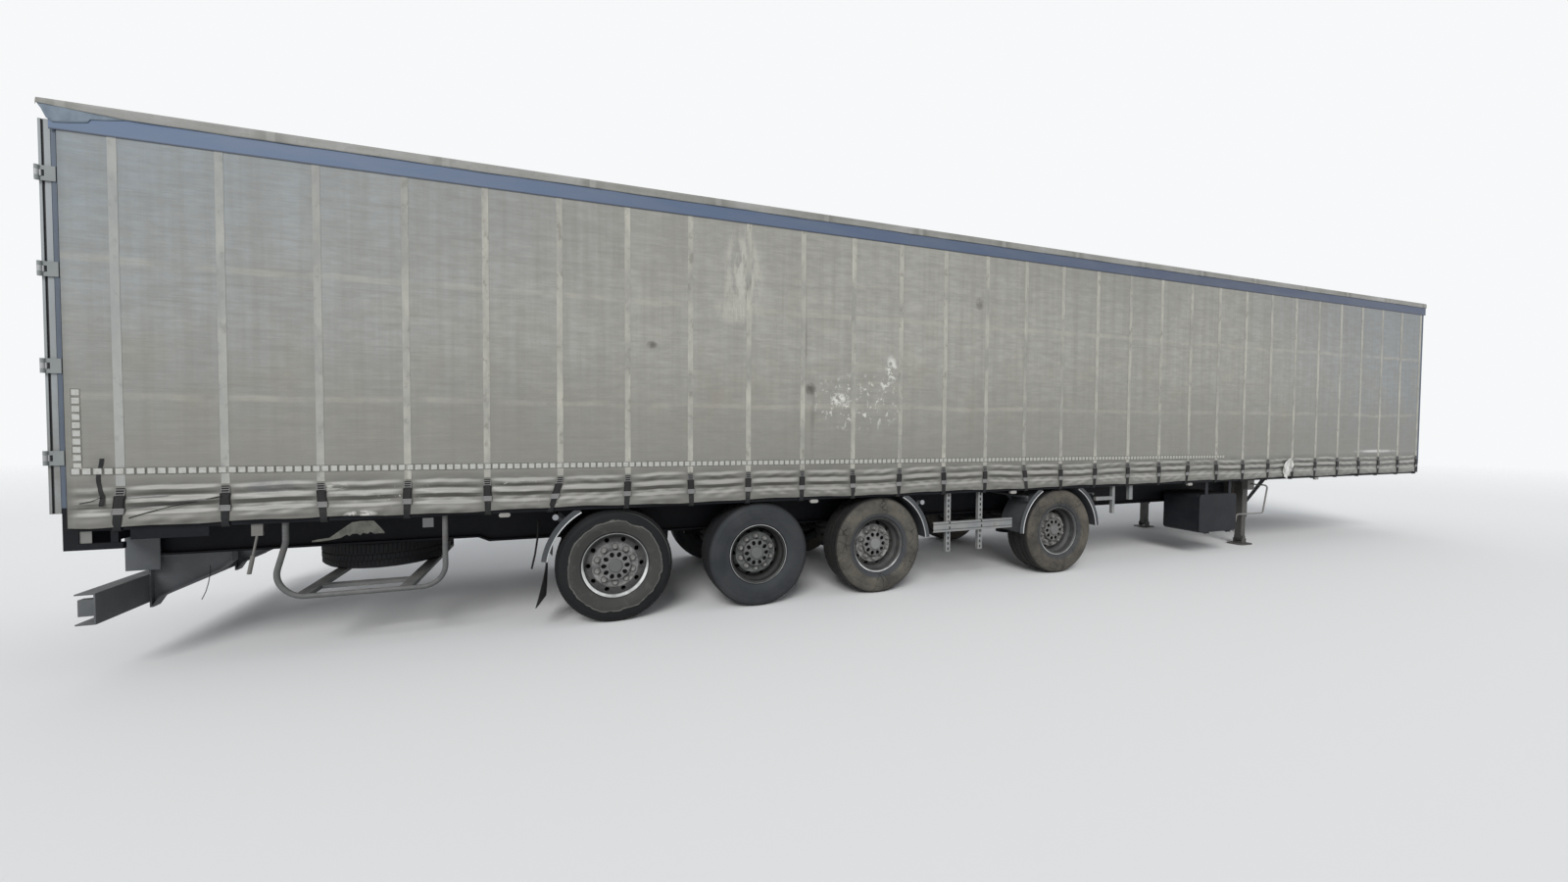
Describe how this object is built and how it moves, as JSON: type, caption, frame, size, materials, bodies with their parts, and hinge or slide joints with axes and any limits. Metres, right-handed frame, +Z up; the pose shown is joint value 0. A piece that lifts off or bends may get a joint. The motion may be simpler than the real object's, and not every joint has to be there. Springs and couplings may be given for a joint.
{
  "type": "curtain-sided semi trailer",
  "caption": "Long curtain-sided semi trailer with a tarpaulin roof, barn doors at the rear, side buckles and straps, landing legs, a spare wheel basket and a stowage box.",
  "frame": {"origin": "on the ground, under the middle of the box round the whole trailer", "axes": "+X towards the front, where the kingpin is, +Y to the left side, +Z up"},
  "size_m": [17.265, 2.5496, 4],
  "materials": {
    "chassis_paint": "matt near-black chassis paint with road dust",
    "frame_paint": "blue-grey paint, dulled",
    "curtain_cloth": "coated curtain cloth, dirty warm grey",
    "roof_cloth": "coated tarpaulin, grey",
    "tyre_rubber": "worn, dusty",
    "rim_paint": "silver wheel paint, dusty",
    "galvanised_steel": "dull zinc",
    "deck_boards": "coated plywood, worn",
    "wall_panel": "planks, satin",
    "door_paint": "pale grey paint, dirty",
    "door_steel": "zinc plated",
    "buckle_steel": "black, satin",
    "lamp_plastic": "lamp lens, dusty",
    "bellows_rubber": "matt black",
    "guard_plastic": "black, dusty",
    "leg_paint": "grey paint, chipped",
    "pin_steel": "greased steel",
    "box_paint": "dark paint, satin",
    "tank_paint": "black paint, satin",
    "coupling_metal": "cast, satin"
  },
  "bodies": {
    "chassis": {"air_springs": "bellows_rubber", "air_tanks": "tank_paint", "axles": "chassis_paint", "buckles": "buckle_steel", "cant_rails": "frame_paint", "corner_posts": "frame_paint", "coupler_plate": "chassis_paint", "curtain_left": "curtain_cloth", "curtain_posts": "galvanised_steel", "curtain_right": "curtain_cloth", "end_headers": "frame_paint", "end_sills": "chassis_paint", "floor_bearers": "chassis_paint", "floor_deck": "deck_boards", "frame_crossmembers": "chassis_paint", "front_wall": "wall_panel", "hanging_rod": "galvanised_steel", "hinge_brackets": "door_steel", "kingpin": "pin_steel", "landing_crank": "leg_paint", "landing_legs": "leg_paint", "leg_braces": "chassis_paint", "line_couplings": "coupling_metal", "main_rails": "chassis_paint", "mud_flaps": "bellows_rubber", "mudguards": "guard_plastic", "rear_lamps": "lamp_plastic", "roof_bows": "galvanised_steel", "roof_tarpaulin": "roof_cloth", "side_guards": "galvanised_steel", "side_markers": "lamp_plastic", "side_rails": "chassis_paint", "spare_basket": "chassis_paint", "spare_rim": "rim_paint", "spare_tyre": "tyre_rubber", "spring_hangers": "chassis_paint", "stowage_box": "box_paint", "trailing_arms": "chassis_paint", "underrun_guard": "chassis_paint"},
    "wheel_1_left": {"wheel_1_left": "rim_paint", "tyre_1_left": "tyre_rubber"},
    "wheel_1_right": {"wheel_1_right": "rim_paint", "tyre_1_right": "tyre_rubber"},
    "wheel_2_left": {"wheel_2_left": "rim_paint", "tyre_2_left": "tyre_rubber"},
    "wheel_2_right": {"wheel_2_right": "rim_paint", "tyre_2_right": "tyre_rubber"},
    "wheel_3_left": {"wheel_3_left": "rim_paint", "tyre_3_left": "tyre_rubber"},
    "wheel_3_right": {"wheel_3_right": "rim_paint", "tyre_3_right": "tyre_rubber"},
    "wheel_4_left": {"wheel_4_left": "rim_paint", "tyre_4_left": "tyre_rubber"},
    "wheel_4_right": {"wheel_4_right": "rim_paint", "tyre_4_right": "tyre_rubber"},
    "door_left": {"door_panel_left": "door_paint", "door_fittings_left": "door_steel"},
    "door_right": {"door_panel_right": "door_paint", "door_fittings_right": "door_steel"},
    "box_door": {"box_door": "box_paint"}
  },
  "joints": [
    {"name": "wheel_1_left_spin", "type": "hinge", "parent": "chassis", "child": "wheel_1_left", "pos_m": [-4.8765, 1.0565, 0.526], "axis": [0, 1, 0], "continuous": true},
    {"name": "wheel_1_right_spin", "type": "hinge", "parent": "chassis", "child": "wheel_1_right", "pos_m": [-4.8765, -1.0565, 0.526], "axis": [0, 1, 0], "continuous": true},
    {"name": "wheel_2_left_spin", "type": "hinge", "parent": "chassis", "child": "wheel_2_left", "pos_m": [-3.4835, 1.0565, 0.526], "axis": [0, 1, 0], "continuous": true},
    {"name": "wheel_2_right_spin", "type": "hinge", "parent": "chassis", "child": "wheel_2_right", "pos_m": [-3.4835, -1.0565, 0.526], "axis": [0, 1, 0], "continuous": true},
    {"name": "wheel_3_left_spin", "type": "hinge", "parent": "chassis", "child": "wheel_3_left", "pos_m": [-2.1085, 1.0565, 0.526], "axis": [0, 1, 0], "continuous": true},
    {"name": "wheel_3_right_spin", "type": "hinge", "parent": "chassis", "child": "wheel_3_right", "pos_m": [-2.1085, -1.0565, 0.526], "axis": [0, 1, 0], "continuous": true},
    {"name": "wheel_4_left_spin", "type": "hinge", "parent": "chassis", "child": "wheel_4_left", "pos_m": [0.4645, 1.0565, 0.526], "axis": [0, 1, 0], "continuous": true},
    {"name": "wheel_4_right_spin", "type": "hinge", "parent": "chassis", "child": "wheel_4_right", "pos_m": [0.4645, -1.0565, 0.526], "axis": [0, 1, 0], "continuous": true},
    {"name": "door_left_hinge", "type": "hinge", "parent": "chassis", "child": "door_left", "pos_m": [-8.6085, 1.262, 2.5], "axis": [0, 0, -1], "range_deg": [0, 255]},
    {"name": "door_right_hinge", "type": "hinge", "parent": "chassis", "child": "door_right", "pos_m": [-8.6085, -1.262, 2.5], "axis": [0, 0, 1], "range_deg": [0, 255]},
    {"name": "box_door_hinge", "type": "hinge", "parent": "chassis", "child": "box_door", "pos_m": [3.4735, -1.205, 0.325], "axis": [1, 0, 0], "range_deg": [0, 90]}
  ]
}
